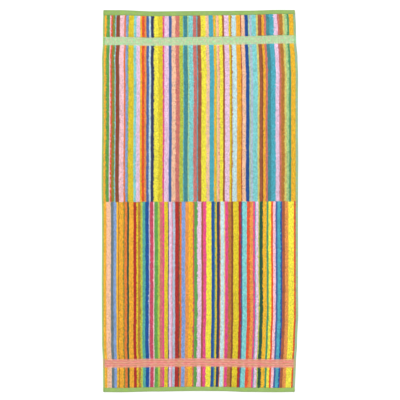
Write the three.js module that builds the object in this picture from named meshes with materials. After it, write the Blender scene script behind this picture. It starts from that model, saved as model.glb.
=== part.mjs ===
// A terry bath towel laid out flat in one layer, seen from its face.
// Millimetres. +X runs across the cloth, +Y along it towards the end with the
// pale band, +Z up. The underside rests on z = 0 and the origin is under the
// middle of the cloth. One woven cloth with turned hems, so one solid.

import * as THREE from 'three';

// The cloth, measured across its widest line and along its longest one
const towelWidth = 714;
const towelLength = 1390;

// How deep the cloth is, built up from its underside
const groundDepth = 1.4;
const pileDepth = 3.2;
const ribDepth = 0.7;
const sideHemDepth = 1.4;
const endHemDepth = 1.7;

// Turned hems, from the outer fold to the sewn inner edge
const leftHem = 6.5;
const rightHem = 8;
const topHem = 17;
const bottomHem = 15.5;
const foldRadius = 1.4;
const hemShoulder = 1.2;
const cornerRadius = 3.5;

// Where loops end at a hem or a band, they round over within this width
const pileEdge = 4.5;
const pileShoulder = 1.2;

// Woven bands without loops, each with flat ribs across the cloth. Distances
// run along the cloth from its top end.
const bands = [
  { from: 94, to: 125, ribs: 4 }, // the pale band
  { from: towelLength - 121, to: towelLength - 87, ribs: 4 }, // the coral band
];

// The drawn-in sides: the ends are narrower, because the bands and the hems
// have shrunk more than the loops between them.
const sides = [
  { along: 0, left: 6.2, right: 11 },
  { along: 60, left: 4.8, right: 8 },
  { along: 115, left: 4.6, right: 7 },
  { along: 180, left: 1.6, right: 2.2 },
  { along: 240, left: 2.2, right: 0 },
  { along: 350, left: 2, right: 0.4 },
  { along: 640, left: 0, right: 0 },
  { along: 760, left: 1.4, right: 0.3 },
  { along: 1110, left: 1, right: 0 },
  { along: 1210, left: 1.6, right: 3.5 },
  { along: 1285, left: 5, right: 8 },
  { along: 1390, left: 5.5, right: 12 },
];

// The hollow ends: the middle of each end lies further in than its corners.
const ends = [
  { across: 0, top: 0.6, bottom: 0.6 },
  { across: 60, top: 0.8, bottom: 0 },
  { across: 190, top: 5.2, bottom: 2.6 },
  { across: 350, top: 3.8, bottom: 4.6 },
  { across: 440, top: 3.4, bottom: 4.2 },
  { across: 540, top: 2.6, bottom: 1 },
  { across: 650, top: 0, bottom: 0.2 },
  { across: 714, top: 0.4, bottom: 1 },
];
const endFade = 500;

// The weft isn't quite square to the sides: at the left side a row lies lower
// by this much, and at the right side higher.
const skews = [
  { along: 0, drop: 0 },
  { along: 17, drop: 2.2 },
  { along: 110, drop: 3.2 },
  { along: 350, drop: 0.6 },
  { along: 695, drop: 1.5 },
  { along: 1000, drop: 0 },
  { along: 1390, drop: 0 },
];

// Low soft swells where the cloth stands clear of the surface. reach is half
// the length of a swell, spread half its width, and turn is its direction in
// degrees from the weft.
const swells = [
  { across: 70, along: 345, reach: 210, spread: 75, turn: -8, height: 3.4 },
  { across: 95, along: 985, reach: 230, spread: 85, turn: 6, height: 3.6 },
  { across: 235, along: 1100, reach: 190, spread: 70, turn: 72, height: 2.6 },
  { across: 590, along: 560, reach: 240, spread: 95, turn: 14, height: 2.8 },
  { across: 610, along: 1060, reach: 200, spread: 80, turn: -20, height: 2.4 },
];

// Shallow puckers beside the two bands, whose weave is tighter than the pile
const puckers = [
  { middle: 62, halfWidth: 44, pitch: 132, start: 30, height: 1.1 },
  { middle: 168, halfWidth: 60, pitch: 148, start: 75, height: 1.3 },
  { middle: 1222, halfWidth: 60, pitch: 140, start: 20, height: 1.3 },
  { middle: 1340, halfWidth: 40, pitch: 126, start: 60, height: 1 },
];

// The widest spacing of the mesh where the cloth is even
const meshStep = 34;

const { clamp, degToRad, lerp, smoothstep } = THREE.MathUtils;

// A value read from a table, easing from each row to the next
function readTable(table, place, value, at) {
  const next = table.findIndex((row) => row[place] >= at);
  if (next === 0) return table[0][value];
  if (next === -1) return table[table.length - 1][value];
  const low = table[next - 1];
  const high = table[next];
  return lerp(low[value], high[value], smoothstep(at, low[place], high[place]));
}

// Turns a square corner of the cloth into a round one
function roundCorner(across, along) {
  const inX = Math.min(across, towelWidth - across);
  const inY = Math.min(along, towelLength - along);
  if (inX >= cornerRadius || inY >= cornerRadius) return { across, along };
  const x = cornerRadius - inX;
  const y = cornerRadius - inY;
  const shrink = Math.max(x, y) / Math.hypot(x, y);
  const moveX = x * (1 - shrink);
  const moveY = y * (1 - shrink);
  return {
    across: across + (across < towelWidth / 2 ? moveX : -moveX),
    along: along + (along < towelLength / 2 ? moveY : -moveY),
  };
}

// Where a point of the square woven cloth lies on the surface
function placeOnSurface(acrossWoven, alongWoven) {
  const { across, along } = roundCorner(acrossWoven, alongWoven);
  const share = across / towelWidth;
  const left = readTable(sides, 'along', 'left', along);
  const right = readTable(sides, 'along', 'right', along);
  const top = readTable(ends, 'across', 'top', across);
  const bottom = readTable(ends, 'across', 'bottom', across);
  const topFade = 1 - smoothstep(along, 0, endFade);
  const bottomFade = 1 - smoothstep(towelLength - along, 0, endFade);
  const drop = readTable(skews, 'along', 'drop', along) * (1 - 2 * share);
  return {
    x: across - towelWidth / 2 + left * (1 - share) - right * share,
    y: towelLength / 2 - along - top * topFade + bottom * bottomFade - drop,
  };
}

// 1 in the middle of a swell, falling softly to 0 at its rim
function mound(squaredDistance) {
  return clamp(1 - squaredDistance, 0, 1) ** 2;
}

// How far the cloth as a whole stands clear of the surface
function clothLift(across, along) {
  let lift = 0;
  for (const swell of swells) {
    const turn = degToRad(swell.turn);
    const x = across - swell.across;
    const y = along - swell.along;
    const lengthways = (x * Math.cos(turn) - y * Math.sin(turn)) / swell.reach;
    const crossways = (x * Math.sin(turn) + y * Math.cos(turn)) / swell.spread;
    lift += swell.height * mound(lengthways ** 2 + crossways ** 2);
  }
  for (const pucker of puckers) {
    const wave = (1 - Math.cos((2 * Math.PI * (across - pucker.start)) / pucker.pitch)) / 2;
    lift += pucker.height * wave * mound(((along - pucker.middle) / pucker.halfWidth) ** 2);
  }
  return lift;
}

// How far a point lies inside the hems, and how far outside a band
function insideSideHems(across) {
  return Math.min(across - leftHem, towelWidth - rightHem - across);
}
function insideEndHems(along) {
  return Math.min(along - topHem, towelLength - bottomHem - along);
}
function outsideBand(band, along) {
  return Math.max(band.from - along, along - band.to);
}

// Loops start at 0 and round over to their full height within pileEdge
function pileRise(distance) {
  const left = 1 - clamp(distance / pileEdge, 0, 1);
  return Math.sqrt(1 - left ** 2);
}

// A hem keeps its height up to the shoulder at its sewn edge
function hemRise(distance) {
  return 1 - smoothstep(distance, -hemShoulder, 0);
}

// The ribs of a band as round waves, 0 outside it
function ribWave(band, along) {
  if (outsideBand(band, along) > 0) return 0;
  const share = (along - band.from) / (band.to - band.from);
  return Math.abs(Math.sin(Math.PI * band.ribs * share));
}

// The depth of the cloth, from its underside to its face
function clothDepth(across, along) {
  const side = insideSideHems(across);
  const end = insideEndHems(along);
  let loops = pileRise(side) * pileRise(end);
  let ribs = 0;
  for (const band of bands) {
    loops *= pileRise(outsideBand(band, along));
    ribs += ribWave(band, along);
  }
  const hems = hemRise(side) * sideHemDepth + hemRise(end) * endHemDepth;
  return groundDepth + pileDepth * loops + ribDepth * ribs + hems;
}

// Evenly spaced stations between two others, meshStep apart or less
function evenStations(from, to) {
  const count = Math.ceil((to - from) / meshStep);
  const stations = [];
  for (let i = 1; i < count; i += 1) stations.push(from + ((to - from) * i) / count);
  return stations;
}

// Stations over a hem, from the outer fold to where the loops are full
function hemStations(hem) {
  return [0, foldRadius, hem / 2, hem - hemShoulder, hem, hem + pileShoulder, hem + pileEdge];
}

// Stations over a band, from full loops on one side to full loops on the other,
// with one in each groove and one on each rib
function bandStations(band) {
  const stations = [band.from - pileEdge, band.from - pileShoulder];
  for (let i = 0; i <= 2 * band.ribs; i += 1) {
    stations.push(lerp(band.from, band.to, i / (2 * band.ribs)));
  }
  stations.push(band.to + pileShoulder, band.to + pileEdge);
  return stations;
}

// Joins groups of stations in order, with even ones in the gaps between them
function joinStations(groups) {
  const stations = [...groups[0]];
  for (const group of groups.slice(1)) {
    stations.push(...evenStations(stations[stations.length - 1], group[0]), ...group);
  }
  return stations;
}

function mirrored(stations, length) {
  return stations.map((station) => length - station).reverse();
}

const acrossStations = joinStations([
  hemStations(leftHem),
  mirrored(hemStations(rightHem), towelWidth),
]);
const alongStations = joinStations([
  hemStations(topHem),
  ...bands.map(bandStations),
  mirrored(hemStations(bottomHem), towelLength),
]);

// The face and the underside share the points of the rim, which lie at half
// the depth of the hem, so the fold comes out round.
function clothGeometry() {
  const columns = acrossStations.length;
  const rows = alongStations.length;
  const points = [];
  const faceIds = [];
  const underIds = [];
  for (let row = 0; row < rows; row += 1) {
    for (let column = 0; column < columns; column += 1) {
      const across = acrossStations[column];
      const along = alongStations[row];
      const onRim = row === 0 || column === 0 || row === rows - 1 || column === columns - 1;
      const { x, y } = placeOnSurface(across, along);
      const lift = clothLift(across, along);
      const depth = clothDepth(across, along);
      faceIds.push(points.length);
      points.push(new THREE.Vector3(x, y, lift + (onRim ? depth / 2 : depth)));
      if (onRim) {
        underIds.push(faceIds[faceIds.length - 1]);
      } else {
        underIds.push(points.length);
        points.push(new THREE.Vector3(x, y, lift));
      }
    }
  }

  const triangles = [];
  for (let row = 0; row < rows - 1; row += 1) {
    for (let column = 0; column < columns - 1; column += 1) {
      const topLeft = row * columns + column;
      const corners = [topLeft, topLeft + columns, topLeft + columns + 1, topLeft + 1];
      // The diagonal runs out from the middle of the cloth, so that no triangle
      // has all its points on the rim.
      const first = (row < rows / 2) === (column < columns / 2) ? 0 : 1;
      const order = [0, 1, 2, 3].map((step) => corners[(first + step) % 4]);
      const [a, b, c, d] = order.map((corner) => faceIds[corner]);
      const [e, f, g, h] = order.map((corner) => underIds[corner]);
      triangles.push(a, b, c, a, c, d);
      triangles.push(e, g, f, e, h, g);
    }
  }

  const geometry = new THREE.BufferGeometry().setFromPoints(points);
  geometry.setIndex(triangles);
  return geometry;
}

// Puts the middle of the box at x = y = 0 and its underside at z = 0
function centred(geometry) {
  geometry.computeBoundingBox();
  const { min, max } = geometry.boundingBox;
  geometry.translate(-(min.x + max.x) / 2, -(min.y + max.y) / 2, -min.z);
  geometry.computeVertexNormals();
  return geometry;
}

const terryCotton = new THREE.MeshStandardMaterial({
  color: 0xbca67d,
  roughness: 0.95,
  metalness: 0,
});

const towel = new THREE.Mesh(centred(clothGeometry()), terryCotton);
towel.name = 'towel';

const part = new THREE.Group();
part.add(towel);

export default part;
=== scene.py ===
# A striped terry bath towel laid out flat: the woven sheet with its turned hems
# and ribbed bands, the loops of its face, and the sewing of its hems.

import bpy
import numpy as np
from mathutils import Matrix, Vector


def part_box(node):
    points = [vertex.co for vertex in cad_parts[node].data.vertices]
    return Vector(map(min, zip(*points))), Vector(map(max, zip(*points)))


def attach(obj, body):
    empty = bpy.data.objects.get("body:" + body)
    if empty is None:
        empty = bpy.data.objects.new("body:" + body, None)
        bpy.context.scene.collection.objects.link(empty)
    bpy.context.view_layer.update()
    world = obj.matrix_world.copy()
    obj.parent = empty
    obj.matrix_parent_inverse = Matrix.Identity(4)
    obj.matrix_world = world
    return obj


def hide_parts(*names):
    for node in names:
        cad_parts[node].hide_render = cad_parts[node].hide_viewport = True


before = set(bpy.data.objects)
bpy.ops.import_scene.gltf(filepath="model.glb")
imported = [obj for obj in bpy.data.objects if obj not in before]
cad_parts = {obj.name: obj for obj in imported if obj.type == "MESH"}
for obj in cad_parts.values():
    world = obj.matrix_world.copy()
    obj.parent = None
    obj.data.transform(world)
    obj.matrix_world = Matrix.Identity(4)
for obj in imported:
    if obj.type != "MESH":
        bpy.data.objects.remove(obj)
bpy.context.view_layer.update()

cadLow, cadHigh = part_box("towel")
metres = 0.001  # in one millimetre, the unit of the cloth's own sizes
print("towel: the frame is loaded")


# The cloth as it lies. across runs from the left side, along from the top end.
cloth = {
    "width": round((cadHigh[0] - cadLow[0]) / metres),
    "length": round((cadHigh[1] - cadLow[1]) / metres),
    "groundDepth": 1.4,
    "pileDepth": 3.2,  # of the loops of both faces together
    "ribDepth": 0.7,
    "sideHemDepth": 1.4,
    "endHemDepth": 1.7,
    "leftHem": 6.5,
    "rightHem": 8,
    "topHem": 17,
    "bottomHem": 15.5,
    "foldRadius": 1.4,
    "hemShoulder": 1.2,  # the slope at the sewn edge of a hem
    "cornerRadius": 3.5,
    "pileEdge": 4.5,  # how far in from its edge the pile has its full height
    "changeOver": 697.2,  # where along the towel the two halves meet
    "endFade": 500,  # how far in the waves of the ends reach
    "wander": 0.4,  # how far a warp end strays sideways
    "wanderStart": (8, 60),  # from the sides, where the straying begins and where it is full
}
bands = [
    {"name": "pale", "start": 94, "end": 125, "ribs": 4},
    {"name": "coral", "start": cloth["length"] - 121, "end": cloth["length"] - 87, "ribs": 4},
]
# along, left side drawn in, right side drawn in
sides = [
    (0, 6.2, 11), (60, 4.8, 8), (115, 4.6, 7), (180, 1.6, 2.2), (240, 2.2, 0), (350, 2, 0.4),
    (640, 0, 0), (760, 1.4, 0.3), (1110, 1, 0), (1210, 1.6, 3.5), (1285, 5, 8),
    (cloth["length"], 5.5, 12),
]
# across, top end drawn in, bottom end drawn in
ends = [
    (0, 0.6, 0.6), (60, 0.8, 0), (190, 5.2, 2.6), (350, 3.8, 4.6), (440, 3.4, 4.2),
    (540, 2.6, 1), (650, 0, 0.2), (cloth["width"], 0.4, 1),
]
# along, how much lower a row lies at the left side
skews = [(0, 0), (17, 2.2), (110, 3.2), (350, 0.6), (695, 1.5), (1000, 0), (cloth["length"], 0)]
# across, along, reach, spread, turn in degrees, height
swells = [
    (70, 345, 210, 75, -8, 3.4),
    (95, 985, 230, 85, 6, 3.6),
    (235, 1100, 190, 70, 72, 2.6),
    (590, 560, 240, 95, 14, 2.8),
    (610, 1060, 200, 80, -20, 2.4),
]
# middle, half width, pitch, start, height
puckers = [
    (62, 44, 132, 30, 1.1),
    (168, 60, 148, 75, 1.3),
    (1222, 60, 140, 20, 1.3),
    (1340, 40, 126, 60, 1),
]
# how slowly a wave of the warp turns along and across the cloth, its share of the wander
wanderWaves = [(61, 37, 1), (23.7, -19, 0.6), (9.1, 11.3, 0.35)]


def ease(value, low, high):
    share = np.clip((value - low) / (high - low), 0, 1)
    return share * share * (3 - 2 * share)


def roundRise(distance, reach):
    # a quarter circle, 0 at no distance and 1 from its reach on
    return np.sqrt(1 - (1 - np.clip(distance / reach, 0, 1)) ** 2)


def mound(squaredDistance):
    return np.clip(1 - squaredDistance, 0, 1) ** 2


def readTable(rows, column, at):
    places = np.array([row[0] for row in rows], float)
    values = np.array([row[column] for row in rows], float)
    low = np.clip(np.searchsorted(places, at) - 1, 0, len(rows) - 2)
    return values[low] + (values[low + 1] - values[low]) * ease(at, places[low], places[low + 1])


def roundCorner(across, along):
    radius = cloth["cornerRadius"]
    x = radius - np.minimum(across, cloth["width"] - across)
    y = radius - np.minimum(along, cloth["length"] - along)
    inside = (x > 0) & (y > 0)
    distance = np.hypot(x, y).clip(1e-9)  # never quite zero, because it divides
    shrink = np.where(inside, np.maximum(x, y) / distance, 1)
    towardsX = np.where(across < cloth["width"] / 2, 1, -1)
    towardsY = np.where(along < cloth["length"] / 2, 1, -1)
    return across + x * (1 - shrink) * towardsX, along + y * (1 - shrink) * towardsY


def warpWander(across, along):
    # the ends of the warp run in slow waves, and not quite side by side
    waves = np.zeros_like(across)
    for alongScale, acrossScale, share in wanderWaves:
        waves += share * np.sin(along / alongScale + across / acrossScale)
    inFromSides = ease(np.minimum(across, cloth["width"] - across), *cloth["wanderStart"])
    return cloth["wander"] * waves * inFromSides


def placeOnSurface(across, along):
    across, along = roundCorner(across, along)
    share = across / cloth["width"]
    topFade = 1 - ease(along, 0, cloth["endFade"])
    bottomFade = 1 - ease(cloth["length"] - along, 0, cloth["endFade"])
    drop = readTable(skews, 1, along) * (1 - 2 * share)
    x = across - cloth["width"] / 2 + warpWander(across, along)
    x += readTable(sides, 1, along) * (1 - share) - readTable(sides, 2, along) * share
    y = cloth["length"] / 2 - along - drop
    y += readTable(ends, 2, across) * bottomFade - readTable(ends, 1, across) * topFade
    return x, y


def clothLift(across, along):
    # how high the underside lies, over the low swells and the puckers beside the bands
    lift = np.zeros_like(across)
    for middleX, middleY, reach, spread, degrees, height in swells:
        turn = np.radians(degrees)
        x, y = across - middleX, along - middleY
        lengthways = (x * np.cos(turn) - y * np.sin(turn)) / reach
        crossways = (x * np.sin(turn) + y * np.cos(turn)) / spread
        lift += height * mound(lengthways**2 + crossways**2)
    for middle, halfWidth, pitch, start, height in puckers:
        wave = (1 - np.cos(2 * np.pi * (across - start) / pitch)) / 2
        lift += height * wave * mound(((along - middle) / halfWidth) ** 2)
    return lift


def insideHems(across, along):
    side = np.minimum(across - cloth["leftHem"], cloth["width"] - cloth["rightHem"] - across)
    end = np.minimum(along - cloth["topHem"], cloth["length"] - cloth["bottomHem"] - along)
    return side, end


def loopCover(across, along):
    side, end = insideHems(across, along)
    cover = roundRise(side, cloth["pileEdge"]) * roundRise(end, cloth["pileEdge"])
    for band in bands:
        outside = np.maximum(band["start"] - along, along - band["end"])
        cover = cover * roundRise(outside, cloth["pileEdge"])
    return cover


def clothDepth(across, along):
    side, end = insideHems(across, along)
    depth = cloth["groundDepth"] + cloth["pileDepth"] * loopCover(across, along)
    depth = depth + cloth["sideHemDepth"] * (1 - ease(side, -cloth["hemShoulder"], 0))
    depth = depth + cloth["endHemDepth"] * (1 - ease(end, -cloth["hemShoulder"], 0))
    for band in bands:
        share = (along - band["start"]) / (band["end"] - band["start"])
        wave = np.abs(np.sin(np.pi * band["ribs"] * share))
        depth = depth + cloth["ribDepth"] * np.where((share >= 0) & (share <= 1), wave, 0)
    return depth


# Node helpers
def addNode(tree, kind, inputs=None, **settings):
    node = tree.nodes.new(kind)
    for name, value in settings.items():
        setattr(node, name, value)
    for name, value in (inputs or {}).items():
        if isinstance(value, bpy.types.NodeSocket):
            tree.links.new(value, node.inputs[name])
        else:
            node.inputs[name].default_value = value
    return node


def addMath(tree, operation, first, second=0.0):
    return addNode(tree, "ShaderNodeMath", {0: first, 1: second}, operation=operation).outputs[0]


def addCentred(tree, value):
    # a value from 0 to 1, moved to lie about zero
    return addMath(tree, "SUBTRACT", value, 0.5)


def addRange(tree, value, low, high, start=0.0, end=1.0):
    inputs = {"Value": value, "From Min": low, "From Max": high, "To Min": start, "To Max": end}
    return addNode(tree, "ShaderNodeMapRange", inputs, interpolation_type="SMOOTHSTEP").outputs[0]


def addScale(tree, vector, scale):
    inputs = {0: vector, "Scale": scale}
    return addNode(tree, "ShaderNodeVectorMath", inputs, operation="SCALE").outputs[0]


def addStretch(tree, vector, scales):
    inputs = {0: vector, 1: scales}
    return addNode(tree, "ShaderNodeVectorMath", inputs, operation="MULTIPLY").outputs[0]


def addMix(tree, share, first, second):
    inputs = {0: share, 6: first, 7: second}
    return addNode(tree, "ShaderNodeMix", inputs, data_type="RGBA").outputs[2]


def addNoise(tree, vector, scale, detail=2.0):
    inputs = {"Vector": vector, "Scale": scale, "Detail": detail}
    return addNode(tree, "ShaderNodeTexNoise", inputs).outputs[0]


def addSplit(tree, vector):
    return addNode(tree, "ShaderNodeSeparateXYZ", {0: vector}).outputs


def addJoin(tree, x, y, z):
    return addNode(tree, "ShaderNodeCombineXYZ", {0: x, 1: y, 2: z}).outputs[0]


def newTree(name, kind, inputs, outputs):
    tree = bpy.data.node_groups.new(name, kind)
    for way, sockets in (("OUTPUT", outputs), ("INPUT", inputs)):
        for socketName, socketKind in sockets.items():
            socketKind = "NodeSocket" + socketKind
            tree.interface.new_socket(name=socketName, in_out=way, socket_type=socketKind)
    return tree, tree.nodes.new("NodeGroupInput").outputs, tree.nodes.new("NodeGroupOutput").inputs


def addGroup(tree, group, inputs):
    return addNode(tree, "ShaderNodeGroup", inputs, node_tree=group).outputs


def linear(red, green, blue):
    # an sRGB colour in the values of light that a shader takes
    share = np.array([red, green, blue]) / 255
    value = np.where(share <= 0.04045, share / 12.92, ((share + 0.055) / 1.055) ** 2.4)
    return (*value.tolist(), 1.0)


# The dyed yarns and the order in which they are warped, in columns of loops
yarns = {
    "sun": (234, 212, 46), "lemon": (250, 240, 76), "amber": (248, 186, 54),
    "gold": (250, 198, 48), "straw": (230, 218, 122), "lime": (196, 212, 82),
    "mint": (186, 222, 158), "leaf": (106, 176, 84), "sea": (78, 162, 116),
    "bottle": (36, 92, 70), "aqua": (142, 222, 222), "sky": (84, 186, 204),
    "ice": (210, 238, 242), "mist": (188, 206, 222), "turquoise": (92, 184, 172),
    "teal": (74, 150, 158), "steel": (116, 134, 138), "denim": (62, 102, 154),
    "cornflower": (80, 112, 176), "royal": (26, 88, 168), "navy": (56, 64, 108),
    "periwinkle": (142, 174, 226), "lilac": (244, 212, 236), "petal": (254, 212, 222),
    "rose": (232, 120, 144), "hotPink": (240, 84, 150), "raspberry": (214, 80, 106),
    "coral": (220, 128, 118), "red": (188, 48, 42), "vermilion": (240, 92, 50),
    "tangerine": (240, 134, 56), "orange": (240, 164, 82), "peach": (252, 208, 174),
    "ochre": (196, 132, 54), "olive": (148, 152, 60), "sienna": (178, 100, 66),
    "rust": (148, 84, 50),
}
upperWarp = [
    ("amber", 2), ("leaf", 3), ("petal", 2), ("vermilion", 2), ("olive", 2), ("aqua", 2),
    ("red", 1), ("rust", 3), ("petal", 5), ("tangerine", 2), ("periwinkle", 2),
    ("leaf", 1), ("sun", 6), ("aqua", 2), ("lilac", 4), ("gold", 3), ("vermilion", 2),
    ("orange", 3), ("cornflower", 2), ("ice", 3), ("navy", 3), ("lemon", 5), ("sun", 5),
    ("hotPink", 2), ("lilac", 5), ("cornflower", 3), ("peach", 4), ("coral", 4), ("lime", 4),
    ("sky", 2), ("teal", 3), ("mint", 2), ("aqua", 5), ("coral", 3), ("sky", 2), ("sienna", 3),
    ("lemon", 6), ("peach", 3), ("sky", 5), ("gold", 3), ("lime", 1), ("peach", 2), ("rose", 1),
    ("lemon", 3), ("sienna", 3), ("lilac", 5), ("sun", 1), ("ochre", 2), ("ice", 5), ("amber", 5),
    ("red", 1), ("peach", 4), ("royal", 3), ("mint", 2), ("mist", 2), ("aqua", 5), ("straw", 3),
    ("sienna", 2), ("rust", 2), ("amber", 3), ("coral", 2), ("teal", 3), ("sky", 5), ("lilac", 4),
    ("coral", 3), ("ochre", 3), ("straw", 3), ("mint", 2), ("sea", 3), ("gold", 5),
]
lowerWarp = [
    ("amber", 3), ("peach", 5), ("steel", 2), ("periwinkle", 4), ("gold", 1), ("ochre", 2),
    ("amber", 4), ("olive", 2), ("tangerine", 2), ("bottle", 3), ("amber", 5), ("red", 3),
    ("sun", 2), ("ochre", 2), ("lime", 3), ("turquoise", 3), ("royal", 3), ("mist", 2),
    ("raspberry", 3), ("petal", 2), ("leaf", 3), ("lime", 3), ("coral", 3), ("hotPink", 2),
    ("sun", 4), ("navy", 1), ("lilac", 3), ("rose", 1), ("mist", 2), ("sienna", 1), ("red", 3),
    ("bottle", 1), ("tangerine", 3), ("periwinkle", 4), ("orange", 3), ("gold", 5),
    ("raspberry", 2), ("leaf", 3), ("lilac", 4), ("sienna", 3), ("hotPink", 3), ("lemon", 6),
    ("royal", 2), ("teal", 2), ("sun", 2), ("navy", 3), ("tangerine", 1), ("ice", 4), ("straw", 1),
    ("hotPink", 3), ("ochre", 3), ("rust", 3), ("sun", 6), ("red", 2), ("denim", 2), ("aqua", 5),
    ("vermilion", 3), ("orange", 3), ("hotPink", 3), ("sky", 1), ("lilac", 2), ("lime", 2),
    ("bottle", 3), ("gold", 4), ("sea", 3), ("lemon", 2), ("vermilion", 3), ("petal", 2),
    ("cornflower", 3), ("sky", 3), ("royal", 2), ("sienna", 3), ("orange", 3), ("lemon", 7),
    ("vermilion", 2),
]
columnCount = sum(width for name, width in upperWarp)
pileStart = cloth["leftHem"]
pileWidth = cloth["width"] - cloth["leftHem"] - cloth["rightHem"]
loopSpacing = pileWidth / columnCount
print("towel: columns of loops", columnCount, sum(width for name, width in lowerWarp))


# Shader groups. A scale of noise is its number of waves in a millimetre.
dye = {
    "paintedLightFall": 0.04,  # painted light: each half is this much lighter at its top and darker at its bottom
    "fuzzScale": 0.45,  # of the noise that makes the edges of the stripes ragged
    "meeting": 1.5,  # how ragged the line is where the two halves meet, in mm
    "meetingScale": 0.3,
    "loopTone": 0.6,  # how much one loop differs from the next
    "tuftTone": 0.22,  # how much one small tuft of loops differs from the next
    "tuftScale": 0.13,
    "clothTone": 0.105,  # slow unevenness over the cloth
    "clothScale": 0.021,
    "patchEdge": (0.42, 0.6),  # in the noise, where a patch of another dye begins and is full
}
flatWeave = {
    "slubScales": (1.3, 0.22),  # of the unevenness across a thread and along it
    "dip": 0.6,  # how high a thread stays where it dives under the next, of 1 in its middle
    "middle": 0.55,  # the height at which a thread has its plain colour, with painted light above it and painted shade below it
    "heights": (0.1, 0.9),  # between these the roughness changes
    "roughness": (0.96, 0.78),
    "bump": (0.8, 0.35),  # strength, and depth in mm
}
noiseReach = 4.0  # soft noise keeps within a quarter of its middle, and this makes it one
rampSize = 30  # a colour ramp holds 32 colours at most


def warpColor(tree, warp, place):
    # the ramps take the colours of the warp in turn, each from its first place on
    color = None
    edges = np.cumsum([0] + [width for name, width in warp]) / columnCount
    for first in range(0, len(warp), rampSize):
        ramp = addNode(tree, "ShaderNodeValToRGB", {0: place})
        ramp.color_ramp.interpolation = "CONSTANT"
        elements = ramp.color_ramp.elements
        elements.remove(elements[1])
        for index in range(first, min(first + rampSize, len(warp))):
            element = elements[0] if index == first else elements.new(edges[index])
            element.position = edges[index]
            element.color = linear(*yarns[warp[index][0]])
        if color is None:
            color = ramp.outputs[0]
        else:
            beyond = addMath(tree, "GREATER_THAN", place, float(edges[first]))
            color = addMix(tree, beyond, color, ramp.outputs[0])
    return color


def makeStripes():
    # the face and the underside change over at mid length, each to the other's stripes
    inputs = {"Weave": "Vector", "Fuzz": "Float"}
    tree, given, out = newTree("warp stripes", "ShaderNodeTree", inputs, {"Color": "Color"})
    across, along, side = addSplit(tree, given["Weave"])
    stray = addCentred(tree, addNoise(tree, given["Weave"], dye["fuzzScale"]))
    stray = addMath(tree, "MULTIPLY", stray, addMath(tree, "MULTIPLY", given["Fuzz"], noiseReach))
    place = addMath(tree, "SUBTRACT", addMath(tree, "ADD", across, stray), pileStart)
    place = addMath(tree, "DIVIDE", place, pileWidth)
    ragged = addCentred(tree, addNoise(tree, given["Weave"], dye["meetingScale"]))
    ragged = addMath(tree, "MULTIPLY", ragged, dye["meeting"] * noiseReach)
    ragged = addMath(tree, "ADD", along, ragged)
    lower = addMath(tree, "GREATER_THAN", ragged, cloth["changeOver"])
    below = addMath(tree, "ABSOLUTE", addMath(tree, "SUBTRACT", lower, side))
    color = addMix(tree, below, warpColor(tree, upperWarp, place), warpColor(tree, lowerWarp, place))
    # painted light: each half is made lighter at its top and darker at its bottom
    share = addMath(tree, "FRACT", addMath(tree, "DIVIDE", along, cloth["changeOver"]))
    paintedLightFall = addRange(tree, share, 0, 1, 1 + dye["paintedLightFall"], 1 - dye["paintedLightFall"])
    tree.links.new(addScale(tree, color, paintedLightFall), out["Color"])
    return tree


def makeMottle():
    # the tone differs from loop to loop, from tuft to tuft, and slowly over the cloth
    inputs = {
        "Color": "Color", "Weave": "Vector", "Loop": "Float", "Loop Tone": "Float",
        "Tuft Tone": "Float", "Cloth Tone": "Float",
    }
    tree, given, out = newTree("yarn mottle", "ShaderNodeTree", inputs, {"Color": "Color"})
    chances = {
        "Loop Tone": given["Loop"],
        "Tuft Tone": addNoise(tree, given["Weave"], dye["tuftScale"], detail=1.0),
        "Cloth Tone": addNoise(tree, given["Weave"], dye["clothScale"], detail=3.0),
    }
    tone = 1.0
    for name, chance in chances.items():
        change = addMath(tree, "MULTIPLY", addCentred(tree, chance), given[name])
        tone = addMath(tree, "ADD", change, tone)
    tree.links.new(addScale(tree, given["Color"], tone), out["Color"])
    return tree


def makeThreads():
    # a plain weave: warp and weft pass over each other by turns, each uneven along its length, with
    # painted shade where a thread dives under the next and painted light on its crown
    inputs = {
        "Color": "Color", "Weave": "Vector", "Warp Pitch": "Float", "Weft Pitch": "Float",
        "Slub": "Float", "Relief Shade": "Float",
    }
    outputs = {"Color": "Color", "Height": "Float"}
    tree, given, out = newTree("flat weave", "ShaderNodeTree", inputs, outputs)
    across, along = addSplit(tree, given["Weave"])[:2]
    cells, swells = [], []
    for place, pitch in ((across, given["Warp Pitch"]), (along, given["Weft Pitch"])):
        count = addMath(tree, "DIVIDE", place, pitch)
        cells.append(addMath(tree, "FLOOR", count))
        share = addMath(tree, "MULTIPLY", addMath(tree, "FRACT", count), np.pi)
        swells.append(addMath(tree, "SINE", share))
    weftOver = addMath(tree, "FLOORED_MODULO", addMath(tree, "ADD", *cells), 2.0)
    heights, slubs = [], []
    for thread, crossed in ((0, 1), (1, 0)):
        rise = addMath(tree, "MULTIPLY", swells[crossed], 1 - flatWeave["dip"])
        rise = addMath(tree, "ADD", rise, flatWeave["dip"])
        heights.append(addMath(tree, "MULTIPLY", swells[thread], rise))
        scales = (flatWeave["slubScales"][thread], flatWeave["slubScales"][crossed], 1.0)
        slubs.append(addNoise(tree, addStretch(tree, given["Weave"], scales), 1.0, detail=1.0))
    height, slub = [
        addNode(tree, "ShaderNodeMix", {0: weftOver, 2: warp, 3: weft}).outputs[0]
        for warp, weft in (heights, slubs)
    ]
    tone = addMath(tree, "MULTIPLY", addCentred(tree, slub), given["Slub"])
    # painted shade where a thread dives under, painted light where it rides over
    reliefShade = addMath(tree, "SUBTRACT", height, flatWeave["middle"])
    reliefShade = addMath(tree, "MULTIPLY", reliefShade, given["Relief Shade"])
    tone = addMath(tree, "ADD", addMath(tree, "ADD", tone, reliefShade), 1.0)
    tree.links.new(addScale(tree, given["Color"], tone), out["Color"])
    tree.links.new(height, out["Height"])
    return tree


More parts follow.
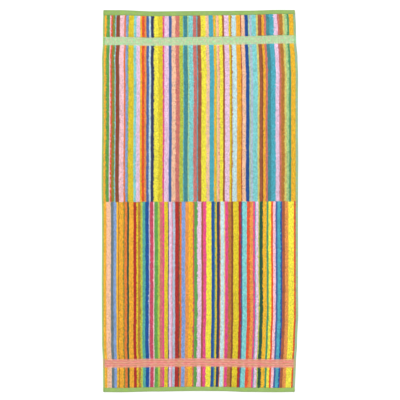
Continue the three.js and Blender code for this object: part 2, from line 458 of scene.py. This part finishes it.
def makePatches():
    # patches where the dye took differently
    inputs = {
        "Color": "Color", "Patch Color": "Color", "Weave": "Vector", "Scale": "Vector",
        "Share": "Float",
    }
    tree, given, out = newTree("dye patches", "ShaderNodeTree", inputs, {"Color": "Color"})
    cloud = addNoise(tree, addStretch(tree, given["Weave"], given["Scale"]), 1.0, detail=3.0)
    share = addMath(tree, "MULTIPLY", addRange(tree, cloud, *dye["patchEdge"]), given["Share"])
    tree.links.new(addMix(tree, share, given["Color"], given["Patch Color"]), out["Color"])
    return tree


stripeGroup = makeStripes()
mottleGroup = makeMottle()
threadGroup = makeThreads()
patchGroup = makePatches()
print("towel: the shader groups are made")


# Materials
cotton = {"specular": 0.15, "sheenRoughness": 0.5}


def newMaterial(name, sheen):
    material = bpy.data.materials.new(name)
    material.use_nodes = True
    shader = material.node_tree.nodes["Principled BSDF"]
    shader.inputs["Specular IOR Level"].default_value = cotton["specular"]
    shader.inputs["Sheen Weight"].default_value = sheen
    shader.inputs["Sheen Roughness"].default_value = cotton["sheenRoughness"]
    return material, material.node_tree, shader


def addWeave(tree):
    # where a point lies: across and along in mm, and 0 on the face or 1 on the underside
    return addNode(tree, "ShaderNodeAttribute", attribute_name="weave").outputs["Vector"]


def addBump(tree, shader, height, strength, distance):
    inputs = {"Height": height, "Strength": strength, "Distance": distance * metres}
    tree.links.new(addNode(tree, "ShaderNodeBump", inputs).outputs[0], shader.inputs["Normal"])


def addStripes(tree, weave, fuzz):
    return addGroup(tree, stripeGroup, {"Weave": weave, "Fuzz": fuzz})["Color"]


def addPatches(tree, weave, color, patch, scale, share):
    inputs = {
        "Color": color, "Patch Color": linear(*patch), "Weave": weave, "Scale": scale,
        "Share": share,
    }
    return addGroup(tree, patchGroup, inputs)["Color"]


def addTone(tree, weave, color, clothTone):
    inputs = {"Color": color, "Weave": weave, "Cloth Tone": clothTone}
    return addGroup(tree, mottleGroup, inputs)["Color"]


def addLoopTone(tree, weave, color, chance):
    inputs = {
        "Color": color, "Weave": weave, "Loop": chance, "Loop Tone": dye["loopTone"],
        "Tuft Tone": dye["tuftTone"], "Cloth Tone": dye["clothTone"],
    }
    return addGroup(tree, mottleGroup, inputs)["Color"]


def addThreads(tree, shader, weave, color, look):
    warpPitch, weftPitch = look["pitches"]
    inputs = {
        "Color": color, "Weave": weave, "Warp Pitch": warpPitch, "Weft Pitch": weftPitch,
        "Slub": look["slub"], "Relief Shade": look["reliefShade"],
    }
    threads = addGroup(tree, threadGroup, inputs)
    height = threads["Height"]
    roughness = addRange(tree, height, *flatWeave["heights"], *flatWeave["roughness"])
    tree.links.new(threads["Color"], shader.inputs["Base Color"])
    tree.links.new(roughness, shader.inputs["Roughness"])
    addBump(tree, shader, height, *flatWeave["bump"])


loopYarn = {
    "sheen": 0.15,
    "fuzz": 0.7,  # how far loops lean over their neighbours at the edge of a stripe, in mm
    "fibres": 1900,  # waves of the fibres' noise in a metre
    "plies": 620,  # how closely the plies of the yarn are wound
    "winding": {"Distortion": 3.0, "Detail": 2.0, "Detail Scale": 1.5},
    "plyShare": 0.34,  # how much the plies show beside the fibres
    "heights": (0.26, 0.74),  # of the hollows and of the ridges of the yarn
    # painted shade in the hollows of the twist and painted light on its ridges
    "paintedShading": (0.86, 1.17),
    "roughness": (1.0, 0.84),
    "bump": (0.9, 0.7),
}


def loopMaterial():
    # every loop has one place in the weave, and so one colour, under the fine twist of its yarn,
    # with painted shade in the twist's hollows and painted light on its ridges
    material, tree, shader = newMaterial("looped cotton", loopYarn["sheen"])
    weave = addWeave(tree)
    color = addStripes(tree, weave, loopYarn["fuzz"])
    chance = addNode(tree, "ShaderNodeTexWhiteNoise", {"Vector": weave}).outputs["Value"]
    color = addLoopTone(tree, weave, color, chance)
    place = addNode(tree, "ShaderNodeTexCoord").outputs["Object"]
    inputs = {"Vector": place, "Scale": loopYarn["plies"], **loopYarn["winding"]}
    plies = addNode(tree, "ShaderNodeTexWave", inputs, bands_direction="DIAGONAL").outputs["Fac"]
    plies = addMath(tree, "MULTIPLY", addCentred(tree, plies), loopYarn["plyShare"])
    twist = addMath(tree, "ADD", addNoise(tree, place, loopYarn["fibres"], detail=3.0), plies)
    # painted shade in the hollows of the twist, painted light on its ridges
    color = addScale(tree, color, addRange(tree, twist, *loopYarn["heights"], *loopYarn["paintedShading"]))
    roughness = addRange(tree, twist, *loopYarn["heights"], *loopYarn["roughness"])
    tree.links.new(color, shader.inputs["Base Color"])
    tree.links.new(roughness, shader.inputs["Roughness"])
    addBump(tree, shader, twist, *loopYarn["bump"])
    return material


terryGround = {
    "sheen": 0.15,
    "fuzz": 0.8,  # how ragged the edges of the stripes are, in mm
    "randomness": 0.75,  # of the places of the loops
    "hollowReach": 1.2,
    "twistScale": 1.9,
    "twistDepth": 0.4,
    "hollowShadeRange": (0.1, 0.8),  # painted shade, from the top of a loop down into the hollow between loops
    # painted light on the tops of the loops and painted shade in the hollows between them
    "paintedShading": (1.04, 0.72),
    "heights": (0.4, 1.3),
    "roughness": (1.0, 0.86),
    "bump": (0.9, 1.4),
}


def groundMaterial():
    # the ground under the loops, and the underside, where each cell is a loop of one colour, with
    # painted shade in the hollows between the loops
    material, tree, shader = newMaterial("terry ground", terryGround["sheen"])
    weave = addWeave(tree)
    inputs = {"Vector": weave, "Scale": 1 / loopSpacing, "Randomness": terryGround["randomness"]}
    cells = addNode(tree, "ShaderNodeTexVoronoi", inputs).outputs
    across, along = addSplit(tree, cells["Position"])[:2]
    middle = addJoin(tree, across, along, addSplit(tree, weave)[2])
    color = addStripes(tree, middle, terryGround["fuzz"])
    chance = addNode(tree, "ShaderNodeSeparateColor", {0: cells["Color"]}).outputs[0]
    color = addLoopTone(tree, weave, color, chance)
    hollow = addMath(tree, "MULTIPLY", cells["Distance"], terryGround["hollowReach"])
    hollow = addMath(tree, "POWER", hollow, 2.0)
    twist = addNoise(tree, weave, terryGround["twistScale"])
    twist = addMath(tree, "MULTIPLY", twist, terryGround["twistDepth"])
    height = addMath(tree, "ADD", addMath(tree, "SUBTRACT", 1.0, hollow), twist)
    # painted shade in the hollows between the loops, painted light on their tops
    tone = addRange(tree, hollow, *terryGround["hollowShadeRange"], *terryGround["paintedShading"])
    roughness = addRange(tree, height, *terryGround["heights"], *terryGround["roughness"])
    tree.links.new(addScale(tree, color, tone), shader.inputs["Base Color"])
    tree.links.new(roughness, shader.inputs["Roughness"])
    addBump(tree, shader, height, *terryGround["bump"])
    return material


bandLook = {
    "pale": {
        "yarn": (156, 228, 164),
        "patch": (214, 218, 178), "patches": 0.8, "patchScale": (0.2, 0.07, 1),
        "fleck": (192, 168, 146), "flecks": 0.6, "fleckScale": (0.26, 0.12, 1),
        "rim": 0.15, "bleed": 0.03,  # how much the stripes show at the edge and further in
        "groove": 0.94,  # painted shade: how light the cloth is between two ribs
    },
    "coral": {
        "yarn": (228, 126, 124),
        "patch": (206, 150, 108), "patches": 0.85, "patchScale": (0.03, 0.2, 1),
        "fleck": (240, 184, 166), "flecks": 0.45, "fleckScale": (0.08, 0.3, 1),
        "rim": 0.5, "bleed": 0.03,
        # painted shade between two ribs
        "groove": 0.72,
    },
    "sheen": 0.1,
    "fuzz": 1.5,
    "rimFade": (2.0, 6.0),  # from here to there the colours of the stripes fade out
    "grooveTop": 0.55,  # how far up a rib its groove's shade reaches
    "clothTone": 0.09,
    "pitches": (2.2, 0.85),  # of the warp and the weft
    "slub": 1.1,
    "reliefShade": 0.3,
}


def fromBandEdge(tree, along, band):
    # the distance inwards from the nearer long edge of a band
    fromStart = addMath(tree, "SUBTRACT", along, band["start"])
    fromEnd = addMath(tree, "SUBTRACT", band["end"], along)
    return addMath(tree, "MINIMUM", fromStart, fromEnd)


def bandMaterial(band):
    look = bandLook[band["name"]]
    material, tree, shader = newMaterial(band["name"] + " woven band", bandLook["sheen"])
    weave = addWeave(tree)
    along = addSplit(tree, weave)[1]
    color = linear(*look["yarn"])
    color = addPatches(tree, weave, color, look["patch"], look["patchScale"], look["patches"])
    color = addPatches(tree, weave, color, look["fleck"], look["fleckScale"], look["flecks"])
    inward = fromBandEdge(tree, along, band)
    bleed = addRange(tree, inward, *bandLook["rimFade"], look["rim"], look["bleed"])
    color = addMix(tree, bleed, color, addStripes(tree, weave, bandLook["fuzz"]))
    # painted shade in the grooves between the ribs
    pitch = (band["end"] - band["start"]) / band["ribs"]
    rib = addMath(tree, "DIVIDE", addMath(tree, "SUBTRACT", along, band["start"]), pitch)
    rib = addMath(tree, "ABSOLUTE", addMath(tree, "SINE", addMath(tree, "MULTIPLY", rib, np.pi)))
    color = addScale(tree, color, addRange(tree, rib, 0, bandLook["grooveTop"], look["groove"], 1))
    color = addTone(tree, weave, color, bandLook["clothTone"])
    addThreads(tree, shader, weave, color, bandLook)
    return material


hem = {
    "end": (146, 180, 96),
    "left": (172, 194, 118),
    "right": (148, 184, 164),
    "sideStart": (-3, 4),  # from the top hem's width, where the colours of the sides begin
    "bright": (160, 200, 84), "brightScale": (0.047, 0.09, 1),
    "dull": (150, 170, 124), "dullScale": (0.064, 0.2, 1),
    "patches": 0.5,  # how much the bright and the dull patches show
    "edge": (136, 170, 86), "edgeFade": (0.4, 6.0),  # painted shade on the outer fold of the ends
    "overBand": 0.6,  # how much of a band's own colour its hem keeps
    "overBandFade": (-1, 2),  # from the edge of the band
    "sheen": 0.15,
    "clothTone": 0.21,
    "pitches": (1.1, 1.3),  # of the warp and the weft
    "slub": 0.9,
    "reliefShade": 0.22,
    "stitchInset": 2.2,  # from the sewn edge of the hem to its line of stitches
}


def hemMaterial():
    material, tree, shader = newMaterial("green hem cotton", hem["sheen"])
    weave = addWeave(tree)
    across, along = addSplit(tree, weave)[:2]
    fromEnd = addMath(tree, "MINIMUM", along, addMath(tree, "SUBTRACT", cloth["length"], along))
    onRight = addMath(tree, "GREATER_THAN", across, cloth["width"] / 2)
    color = addMix(tree, onRight, linear(*hem["left"]), linear(*hem["right"]))
    for band in bands:
        inward = fromBandEdge(tree, along, band)
        inBand = addRange(tree, inward, *hem["overBandFade"], 0, hem["overBand"])
        color = addMix(tree, inBand, color, linear(*bandLook[band["name"]]["yarn"]))
    low, high = hem["sideStart"]
    atSide = addRange(tree, fromEnd, cloth["topHem"] + low, cloth["topHem"] + high)
    color = addMix(tree, atSide, linear(*hem["end"]), color)
    color = addPatches(tree, weave, color, hem["bright"], hem["brightScale"], hem["patches"])
    color = addPatches(tree, weave, color, hem["dull"], hem["dullScale"], hem["patches"])
    # painted shade on the outer fold of the top and bottom hems
    inner = addRange(tree, fromEnd, *hem["edgeFade"])
    color = addMix(tree, inner, linear(*hem["edge"]), color)
    color = addTone(tree, weave, color, hem["clothTone"])
    addThreads(tree, shader, weave, color, hem)
    return material


sewing = {
    "dark": (132, 184, 92),
    "light": (176, 216, 134),
    "toneRange": (0.3, 0.7),
    "fibres": 900,  # waves of the fibres' noise in a metre
    "roughness": 0.6,
    "sheen": 0.2,
}


def sewingMaterial():
    material, tree, shader = newMaterial("green sewing thread", sewing["sheen"])
    place = addNode(tree, "ShaderNodeTexCoord").outputs["Object"]
    fibres = addNoise(tree, place, sewing["fibres"], detail=1.0)
    tone = addRange(tree, fibres, *sewing["toneRange"])
    color = addMix(tree, tone, linear(*sewing["dark"]), linear(*sewing["light"]))
    tree.links.new(color, shader.inputs["Base Color"])
    shader.inputs["Roughness"].default_value = sewing["roughness"]
    return material


loopFinish = loopMaterial()
sheetFinishes = [groundMaterial(), hemMaterial(), *[bandMaterial(band) for band in bands]]
sewingFinish = sewingMaterial()
print("towel: the materials are made")


# Mesh helpers
mapBorder = 0.002  # the margin of a map for baking, as a share of the image


def addObject(name, data):
    made = bpy.data.objects.new(name, data)
    bpy.context.collection.objects.link(made)
    return made


def newMesh(name, points, edges, faces, weave):
    mesh = bpy.data.meshes.new(name)
    mesh.from_pydata(points * metres, edges, faces)
    places = mesh.attributes.new("weave", "FLOAT_VECTOR", "POINT").data
    places.foreach_set("vector", weave.astype(np.float32).ravel())
    return mesh


def writeMap(mesh, places):
    layer = mesh.uv_layers.new(name="OFBake")
    layer.uv.foreach_set("vector", places.astype(np.float32).ravel())


# The sheet: one closed mesh, its face and underside joined along a round fold
sheet = {
    "step": 9.0,  # mesh spacing under the loops
    "hemStep": 2.4,
    "foldSteps": 4,
    "ribSteps": 8,
    "edgeShares": (0.1, 0.3, 0.6, 1),  # where the slope at the edge of the pile has its points
    "sunk": 1.2,  # how far the ground lies below the even height of the pile
    "nap": 0.3,  # unevenness of the ground under the loops
    "seed": 5,
}


def evenSteps(start, end, step):
    count = int(np.ceil((end - start) / step))
    return list(np.linspace(start, end, count + 1)[1:-1])


def hemSteps(hemWidth):
    # from the rim to where the pile beside the hem has its full height
    fold, shoulder = cloth["foldRadius"], cloth["hemShoulder"]
    angles = np.linspace(0, np.pi / 2, sheet["foldSteps"] + 1)
    turned = list(fold * (1 - np.cos(angles)))
    flat = evenSteps(fold, hemWidth - shoulder, sheet["hemStep"])
    sloped = [hemWidth - shoulder, hemWidth - shoulder / 2, hemWidth]
    pile = [hemWidth + share * cloth["pileEdge"] for share in sheet["edgeShares"]]
    return turned + flat + sloped + pile


def bandSteps(band):
    slope = [share * cloth["pileEdge"] for share in sheet["edgeShares"]]
    before = [band["start"] - step for step in reversed(slope)]
    after = [band["end"] + step for step in slope]
    ribs = list(np.linspace(band["start"], band["end"], band["ribs"] * sheet["ribSteps"] + 1))
    return before + ribs + after


def joinSteps(groups):
    steps = list(groups[0])
    for group in groups[1:]:
        steps += evenSteps(steps[-1], group[0], sheet["step"]) + list(group)
    return np.array(steps)


def mirrored(steps, length):
    return [length - step for step in reversed(steps)]


def foldShare(across, along):
    # 0 at the rim and 1 where the hem is flat, round in between
    fromSide = np.minimum(across, cloth["width"] - across)
    fromEnd = np.minimum(along, cloth["length"] - along)
    return roundRise(np.minimum(fromSide, fromEnd), cloth["foldRadius"])


def faceHeight(across, along):
    # the top of the ground, from the surface that the towel lies on
    depth = clothDepth(across, along) - sheet["sunk"] * loopCover(across, along)
    return clothLift(across, along) + depth * (1 + foldShare(across, along)) / 2


def gridFaces(ids, turned):
    corners = [ids[:-1, :-1], ids[1:, :-1], ids[1:, 1:], ids[:-1, 1:]]
    return np.stack(corners[::-1] if turned else corners, -1).reshape(-1, 4)


def zoneOf(across, along):
    # 0 the looped ground, 1 the hems, 2 and 3 the bands
    side, end = insideHems(across, along)
    zone = np.zeros(across.shape, np.int32)
    for index, band in enumerate(bands):
        zone[(along > band["start"]) & (along < band["end"])] = 2 + index
    zone[(side < 0) | (end < 0)] = 1
    return zone.ravel()


def halvesMap(mesh, weave, faces):
    # the face of the cloth fills the left half of the image and the underside the right half
    across, along = weave[faces, 0] / cloth["width"], weave[faces, 1] / cloth["length"]
    under = np.arange(len(faces))[:, None] >= len(faces) // 2
    u = across * (0.5 - 2 * mapBorder) + mapBorder + under * 0.5
    v = (1 - along) * (1 - 2 * mapBorder) + mapBorder
    writeMap(mesh, np.stack([u, v], -1))


def makeSheet():
    draws = np.random.default_rng(sheet["seed"])
    acrossSteps = joinSteps([
        hemSteps(cloth["leftHem"]),
        mirrored(hemSteps(cloth["rightHem"]), cloth["width"]),
    ])
    alongSteps = joinSteps([
        hemSteps(cloth["topHem"]),
        *[bandSteps(band) for band in bands],
        mirrored(hemSteps(cloth["bottomHem"]), cloth["length"]),
    ])
    across, along = np.meshgrid(acrossSteps, alongSteps)
    x, y = placeOnSurface(across, along)
    faceZ = faceHeight(across, along)
    faceZ += sheet["nap"] * loopCover(across, along) * draws.uniform(-1, 1, across.shape)
    underZ = clothLift(across, along)
    underZ += clothDepth(across, along) * (1 - foldShare(across, along)) / 2

    # the underside shares the points of the rim with the face
    ids = np.arange(across.size).reshape(across.shape)
    inner = np.zeros(across.shape, bool)
    inner[1:-1, 1:-1] = True
    underIds = ids.copy()
    underIds[inner] = across.size + np.arange(inner.sum())
    points = np.concatenate([
        np.stack([x.ravel(), y.ravel(), faceZ.ravel()], 1),
        np.stack([x[inner], y[inner], underZ[inner]], 1),
    ])
    weave = np.concatenate([
        np.stack([across.ravel(), along.ravel(), np.zeros(across.size)], 1),
        np.stack([across[inner], along[inner], np.ones(inner.sum())], 1),
    ])
    faces = np.concatenate([gridFaces(ids, False), gridFaces(underIds, True)])

    mesh = newMesh("sheet", points, [], faces.tolist(), weave)
    for material in sheetFinishes:
        mesh.materials.append(material)
    middleAcross = (across[:-1, :-1] + across[1:, 1:]) / 2
    middleAlong = (along[:-1, :-1] + along[1:, 1:]) / 2
    mesh.polygons.foreach_set("material_index", np.tile(zoneOf(middleAcross, middleAlong), 2))
    mesh.polygons.foreach_set("use_smooth", np.ones(len(faces), bool))
    halvesMap(mesh, weave, faces)
    mesh.update()
    return addObject("sheet", mesh)


towelSheet = makeSheet()
print("towel: the sheet has", len(towelSheet.data.polygons) * 2, "triangles")


# Geometry Nodes helpers
def addNub(tree, sizes, segments, rings):
    # a smooth ball of few faces, stretched to its sizes
    ball = {"Segments": segments, "Rings": rings, "Radius": 0.5}
    ball = addNode(tree, "GeometryNodeMeshUVSphere", ball).outputs["Mesh"]
    shape = {"Geometry": ball, "Scale": addJoin(tree, *sizes)}
    shape = addNode(tree, "GeometryNodeTransform", shape).outputs[0]
    return addNode(tree, "GeometryNodeSetShadeSmooth", {"Geometry": shape}).outputs[0]


def finishTree(tree, placed, material, out):
    shapes = addNode(tree, "GeometryNodeInstanceOnPoints", placed).outputs[0]
    shapes = addNode(tree, "GeometryNodeRealizeInstances", {"Geometry": shapes}).outputs[0]
    painted = addNode(tree, "GeometryNodeSetMaterial", {"Geometry": shapes, "Material": material})
    tree.links.new(painted.outputs[0], out["Geometry"])


def growPiece(name, points, edges, weave, tree, values):
    # a bed of points or lines is dressed by the tree and made one plain mesh
    bed = addObject(name + " bed", newMesh(name + " bed", points, edges, [], weave))
    modifier = bed.modifiers.new(tree.name, "NODES")
    modifier.node_group = tree
    for item in tree.interface.items_tree:
        if item.in_out == "INPUT" and item.name in values:
            modifier[item.identifier] = values[item.name]
    grown = bed.evaluated_get(bpy.context.evaluated_depsgraph_get())
    plain = bpy.data.meshes.new_from_object(grown)
    bed.modifiers.clear()
    bpy.data.objects.remove(bed)
    fromAboveMap(plain)
    return addObject(name, plain)


def fromAboveMap(mesh):
    corner = np.empty(len(mesh.loops), np.int32)
    mesh.loops.foreach_get("vertex_index", corner)
    places = np.empty(len(mesh.vertices) * 3, np.float32)
    mesh.vertices.foreach_get("co", places)
    places = places.reshape(-1, 3)[:, :2]
    low, high = places.min(0), places.max(0)
    writeMap(mesh, mapBorder + (1 - 2 * mapBorder) * (places[corner] - low) / (high - low))


# The loops of the face: nubs of yarn in columns and rows, in lengthwise strips
loops = {
    "rowPitch": 3.3,
    "length": 4.5,
    "width": 3.3,
    "height": 3.0,
    "segments": 5,
    "rings": 2,
    "tips": 0.25,  # how far the tips stand over the even height of the pile
    "stray": 0.35,
    "stagger": 0.25,  # of a row, between one column and the next
    "yaw": 26,  # degrees either way
    "tilt": 20,
    "sizeSpread": 0.16,
    "strips": 5,
    "seed": 11,
    "seedStep": 7,  # from one strip to the next
}


def makeLoopTree():
    inputs = {
        "Geometry": "Geometry", "Length": "Float", "Width": "Float", "Height": "Float",
        "Size Spread": "Float", "Yaw": "Float", "Tilt": "Float", "Seed": "Int", "Yarn": "Material",
    }
    tree, given, out = newTree("terry loops", "GeometryNodeTree", inputs, {"Geometry": "Geometry"})
    sizes = (given["Width"], given["Length"], given["Height"])
    nub = addNub(tree, sizes, loops["segments"], loops["rings"])
    turn = addJoin(tree, given["Tilt"], given["Tilt"], given["Yaw"])
    turned = {0: addScale(tree, turn, -1.0), 1: turn, 8: given["Seed"]}
    turned = addNode(tree, "FunctionNodeRandomValue", turned, data_type="FLOAT_VECTOR").outputs[0]
    turned = addNode(tree, "FunctionNodeEulerToRotation", {0: turned}).outputs[0]
    least = addMath(tree, "SUBTRACT", 1.0, given["Size Spread"])
    most = addMath(tree, "ADD", 1.0, given["Size Spread"])
    seed = addMath(tree, "ADD", given["Seed"], 1.0)
    scale = {2: least, 3: most, 8: seed}
    scale = addNode(tree, "FunctionNodeRandomValue", scale, data_type="FLOAT").outputs[1]
    placed = {"Points": given["Geometry"], "Instance": nub, "Rotation": turned, "Scale": scale}
    finishTree(tree, placed, given["Yarn"], out)
    return tree


def loopRows():
    # whole rows in each field of loops, and a change of rows at mid length
    paleBand, coralBand = bands
    fields = [
        (cloth["topHem"], paleBand["start"]),
        (paleBand["end"], cloth["changeOver"]),
        (cloth["changeOver"], coralBand["start"]),
        (coralBand["end"], cloth["length"] - cloth["bottomHem"]),
    ]
    rows = []
    for start, end in fields:
        count = round((end - start) / loops["rowPitch"])
        rows += list(start + (np.arange(count) + 0.5) * (end - start) / count)
    return np.array(rows)


def makeLoops():
    tree = makeLoopTree()
    draws = np.random.default_rng(loops["seed"])
    columns = pileStart + (np.arange(columnCount) + 0.5) * loopSpacing
    across, along = np.meshgrid(columns, loopRows())
    column = np.broadcast_to(np.arange(columnCount), across.shape)
    stray = draws.uniform(-1, 1, (2, *across.shape)) * loops["stray"]
    stagger = (column % 2 - 0.5) * loops["rowPitch"] * loops["stagger"]
    x, y = placeOnSurface(across + stray[0], along + stray[1] + stagger)
    z = clothLift(across, along) + clothDepth(across, along) + loops["tips"] - loops["height"] / 2
    points = np.stack([x, y, z], -1)
    weave = np.stack([across, along, np.zeros_like(across)], -1)
    values = {
        "Length": loops["length"] * metres, "Width": loops["width"] * metres,
        "Height": loops["height"] * metres, "Size Spread": loops["sizeSpread"],
        "Yaw": np.radians(loops["yaw"]), "Tilt": np.radians(loops["tilt"]), "Yarn": loopFinish,
    }
    pieces = []
    for strip in range(loops["strips"]):
        chosen = column * loops["strips"] // columnCount == strip
        values["Seed"] = loops["seed"] + loops["seedStep"] * strip
        name = "loops-" + str(strip + 1)
        pieces.append(growPiece(name, points[chosen], [], weave[chosen], tree, values))
    return pieces


towelLoops = makeLoops()
print("towel: the loops have", sum(len(piece.data.polygons) for piece in towelLoops), "faces")


# The sewing of the hems, on the face and the underside
stitches = {
    "pitch": 3.1,
    "length": 2.5,
    "thickness": 0.56,
    "segments": 5,
    "rings": 3,
    "step": 4.0,  # between the points of the line that the stitches follow
    "fromRim": 4,  # where the lines along the ends start
    "fromCorner": 1.5,  # how far the lines along the sides stop before them
    "faceLift": 0.05,  # how far the middle of the thread lies over the cloth
    "underLift": 0.1,
}


def makeStitchTree():
    inputs = {
        "Geometry": "Geometry", "Pitch": "Float", "Length": "Float", "Thickness": "Float",
        "Thread": "Material",
    }
    tree, given, out = newTree("hem stitches", "GeometryNodeTree", inputs, {"Geometry": "Geometry"})
    sizes = (given["Thickness"], given["Thickness"], given["Length"])
    stitch = addNub(tree, sizes, stitches["segments"], stitches["rings"])
    line = addNode(tree, "GeometryNodeMeshToCurve", {"Mesh": given["Geometry"]}).outputs[0]
    spots = {"Curve": line, "Length": given["Pitch"]}
    spots = addNode(tree, "GeometryNodeCurveToPoints", spots, mode="LENGTH").outputs
    placed = {"Points": spots["Points"], "Instance": stitch, "Rotation": spots["Rotation"]}
    finishTree(tree, placed, given["Thread"], out)
    return tree


def stitchLines():
    # each line runs just inside the sewn edge of its hem
    inset, rim, corner = hem["stitchInset"], stitches["fromRim"], stitches["fromCorner"]
    left, right = cloth["leftHem"] - inset, cloth["width"] - cloth["rightHem"] + inset
    top, bottom = cloth["topHem"] - inset, cloth["length"] - cloth["bottomHem"] + inset
    return [
        ((rim, top), (cloth["width"] - rim, top)),
        ((rim, bottom), (cloth["width"] - rim, bottom)),
        ((left, top + corner), (left, bottom - corner)),
        ((right, top + corner), (right, bottom - corner)),
    ]


def makeStitches():
    points, weave, edges = [], [], []
    for start, end in stitchLines():
        count = int(np.hypot(end[0] - start[0], end[1] - start[1]) / stitches["step"])
        share = np.linspace(0, 1, count)
        across = start[0] + (end[0] - start[0]) * share
        along = start[1] + (end[1] - start[1]) * share
        x, y = placeOnSurface(across, along)
        heights = (
            faceHeight(across, along) + stitches["faceLift"],
            clothLift(across, along) + stitches["underLift"],
        )
        for side, height in enumerate(heights):
            first = sum(len(group) for group in points)
            edges += [(first + index, first + index + 1) for index in range(count - 1)]
            points.append(np.stack([x, y, height], 1))
            weave.append(np.stack([across, along, np.full(count, float(side))], 1))
    values = {
        "Pitch": stitches["pitch"] * metres, "Length": stitches["length"] * metres,
        "Thickness": stitches["thickness"] * metres, "Thread": sewingFinish,
    }
    points, weave = np.concatenate(points), np.concatenate(weave)
    return growPiece("hem-stitches", points, edges, weave, makeStitchTree(), values)


towelStitches = makeStitches()
print("towel: the stitches have", len(towelStitches.data.polygons), "faces")

for piece in (towelSheet, *towelLoops, towelStitches):
    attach(piece, "root")
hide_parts("towel")


# A pale floor, soft light from all round and from the upper left, and the camera
studio = {
    "floorReach": 30.0,  # in metres
    "floorTone": 0.96,
    "floorRoughness": 0.9,
    "floorDrop": 0.5,
    "skyStrength": 0.8,
    "sunStrength": 1.72,
    "sunSpread": 35,  # degrees
    "sunFrom": (-0.45, 0.55, 0.8),
    "lens": 85,
    "sensor": 36,
    "viewWidth": 1453.6,  # of what the picture shows, at the height of the pile
    "aim": (0.95, 3.8),  # what lies in the middle of the picture
}


def makeFloor():
    # opaque from above, and clear from below and for the light on the underside of the towel
    reach, height = studio["floorReach"], -studio["floorDrop"] * metres
    corners = [(-reach, -reach), (reach, -reach), (reach, reach), (-reach, reach)]
    mesh = bpy.data.meshes.new("floor")
    mesh.from_pydata([(x, y, height) for x, y in corners], [], [(0, 1, 2, 3)])
    material = bpy.data.materials.new("pale floor")
    material.use_nodes = True
    tree = material.node_tree
    shader = tree.nodes["Principled BSDF"]
    shader.inputs["Base Color"].default_value = (*[studio["floorTone"]] * 3, 1)
    shader.inputs["Roughness"].default_value = studio["floorRoughness"]
    clear = addNode(tree, "ShaderNodeBsdfTransparent").outputs[0]
    behind = addNode(tree, "ShaderNodeNewGeometry").outputs["Backfacing"]
    seen = addNode(tree, "ShaderNodeLightPath").outputs["Is Camera Ray"]
    seen = addMath(tree, "MULTIPLY", addMath(tree, "SUBTRACT", 1.0, behind), seen)
    surface = addNode(tree, "ShaderNodeMixShader", {0: seen, 1: clear, 2: shader.outputs[0]})
    tree.links.new(surface.outputs[0], tree.nodes["Material Output"].inputs["Surface"])
    mesh.materials.append(material)
    addObject("floor", mesh)


def makeLights():
    scene = bpy.context.scene
    scene.view_settings.view_transform = "Standard"
    world = bpy.data.worlds.new("soft sky")
    world.use_nodes = True
    sky = world.node_tree.nodes["Background"]
    sky.inputs["Color"].default_value = (1, 1, 1, 1)
    sky.inputs["Strength"].default_value = studio["skyStrength"]
    scene.world = world
    sun = bpy.data.lights.new("soft sun", "SUN")
    sun.energy = studio["sunStrength"]
    sun.angle = np.radians(studio["sunSpread"])
    lamp = addObject("soft sun", sun)
    lamp.rotation_mode = "QUATERNION"
    lamp.rotation_quaternion = Vector(studio["sunFrom"]).to_track_quat("Z", "Y")


def makeCamera():
    # it looks straight down, as a camera does before it is turned
    camera = bpy.data.cameras.new("camera")
    camera.lens = studio["lens"]
    camera.sensor_width = studio["sensor"]
    pileTop = cloth["groundDepth"] + cloth["pileDepth"]
    distance = studio["viewWidth"] * studio["lens"] / studio["sensor"]
    seat = addObject("camera", camera)
    seat.location = [value * metres for value in (*studio["aim"], distance + pileTop)]
    bpy.context.scene.camera = seat


makeFloor()
makeLights()
makeCamera()
print("towel: the floor, the lights and the camera are set")
